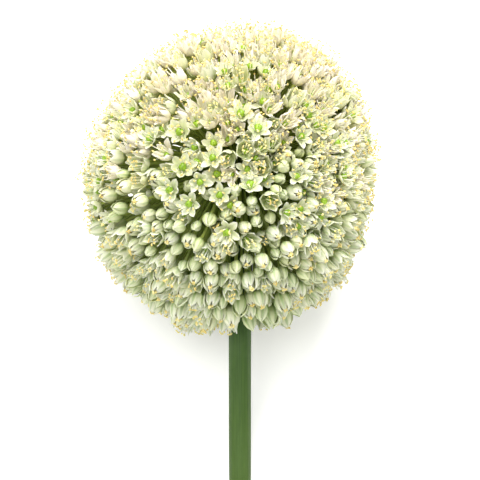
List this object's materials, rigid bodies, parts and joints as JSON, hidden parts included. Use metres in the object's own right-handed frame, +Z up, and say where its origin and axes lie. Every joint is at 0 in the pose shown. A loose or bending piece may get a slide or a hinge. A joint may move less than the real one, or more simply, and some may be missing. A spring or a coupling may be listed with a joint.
{
  "type": "allium flower head",
  "caption": "Ball-shaped head of small white star florets on thin green stalks, on a short straight cut stem, lying on its side.",
  "frame": {"origin": "middle of the bounding box, on the surface that the head and the stem's cut end lie on", "axes": "+Z up, the cut end of the stem towards -Y, the crown of the head towards +Y and up"},
  "size_m": [0.0938, 0.1416, 0.0928],
  "materials": {
    "stem_green": "satin",
    "stalk_green": "satin",
    "petal_cream": "matte",
    "petal_white": "matte",
    "petal_green_white": "matte",
    "bud_green": "matte",
    "filament_white": "satin",
    "anther_yellow": "matte",
    "ovary_green": "satin"
  },
  "bodies": {
    "root": {"stem": "stem_green", "floret_cluster_01": "petal_cream", "floret_cluster_02": "petal_cream", "floret_cluster_03": "petal_cream", "floret_cluster_04": "petal_cream", "floret_cluster_05": "petal_cream", "floret_cluster_06": "petal_cream", "floret_cluster_07": "petal_cream", "floret_cluster_08": "petal_cream", "floret_cluster_09": "petal_cream", "floret_cluster_10": "petal_cream", "floret_cluster_11": "petal_cream", "floret_cluster_12": "petal_cream", "floret_cluster_13": "petal_cream", "floret_cluster_14": "petal_cream", "floret_cluster_15": "petal_white", "floret_cluster_16": "petal_white", "floret_cluster_17": "petal_white", "floret_cluster_18": "petal_white", "floret_cluster_19": "petal_white", "floret_cluster_20": "petal_white", "floret_cluster_21": "petal_white", "floret_cluster_22": "petal_white", "floret_cluster_23": "petal_white", "floret_cluster_24": "petal_white", "floret_cluster_25": "petal_white", "floret_cluster_26": "petal_white", "floret_cluster_27": "petal_white", "floret_cluster_28": "petal_white", "floret_cluster_29": "petal_white", "floret_cluster_30": "petal_white", "floret_cluster_31": "petal_white", "floret_cluster_32": "petal_white", "floret_cluster_33": "petal_white", "floret_cluster_34": "petal_white", "floret_cluster_35": "petal_white", "floret_cluster_36": "petal_green_white", "floret_cluster_37": "petal_green_white", "floret_cluster_38": "petal_green_white", "floret_cluster_39": "petal_green_white", "floret_cluster_40": "petal_green_white", "floret_cluster_41": "petal_green_white", "floret_cluster_42": "petal_green_white", "floret_cluster_43": "petal_green_white", "floret_cluster_44": "petal_green_white", "floret_cluster_45": "petal_green_white", "floret_cluster_46": "petal_green_white", "floret_cluster_47": "petal_green_white", "floret_cluster_48": "petal_green_white", "floret_cluster_49": "petal_green_white", "floret_cluster_50": "petal_green_white", "floret_cluster_51": "petal_green_white", "floret_cluster_52": "petal_green_white", "floret_cluster_53": "petal_green_white", "floret_cluster_54": "petal_green_white"}
  },
  "joints": []
}
